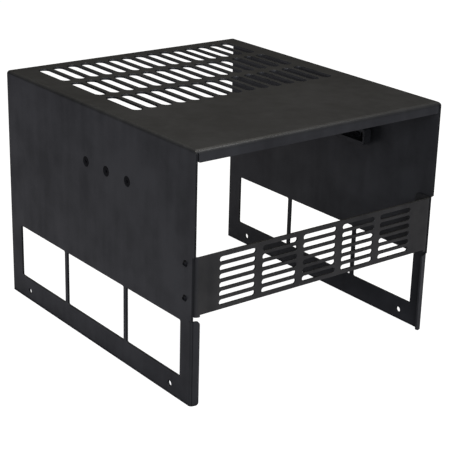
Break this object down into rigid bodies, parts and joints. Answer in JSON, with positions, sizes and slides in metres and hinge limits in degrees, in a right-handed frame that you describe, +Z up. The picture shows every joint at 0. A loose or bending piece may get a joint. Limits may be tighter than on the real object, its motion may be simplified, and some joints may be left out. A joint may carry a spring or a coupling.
{
  "type": "slotted steel cover",
  "caption": "Open-backed folded steel cover that stands on its sides, with a slotted top, windowed sides and a slotted rail screwed across its front.",
  "frame": {"origin": "centre of the outline at floor level, where the bottom edges stand", "axes": "+Z up, front lip and slotted rail towards -Y, open back towards +Y, +X to the right seen from the front"},
  "size_m": [0.3544, 0.389, 0.2885],
  "materials": {
    "shell_paint": "satin black paint",
    "rail_paint": "satin black paint",
    "tray_paint": "satin black paint",
    "black_screw": "black oxide",
    "black_nut": "black oxide"
  },
  "bodies": {
    "root": {"outer_shell": "shell_paint", "front_grille": "rail_paint", "left_inner_tray": "tray_paint", "left_tray_screw_1": "black_screw", "left_tray_nut_1": "black_nut", "left_tray_screw_2": "black_screw", "left_tray_nut_2": "black_nut", "left_tray_screw_3": "black_screw", "left_tray_nut_3": "black_nut", "left_rail_screw_upper": "black_screw", "left_rail_nut_upper": "black_nut", "left_rail_screw_lower": "black_screw", "left_rail_nut_lower": "black_nut", "right_inner_tray": "tray_paint", "right_tray_screw_1": "black_screw", "right_tray_nut_1": "black_nut", "right_tray_screw_2": "black_screw", "right_tray_nut_2": "black_nut", "right_tray_screw_3": "black_screw", "right_tray_nut_3": "black_nut", "right_rail_screw_upper": "black_screw", "right_rail_nut_upper": "black_nut", "right_rail_screw_lower": "black_screw", "right_rail_nut_lower": "black_nut"}
  },
  "joints": []
}
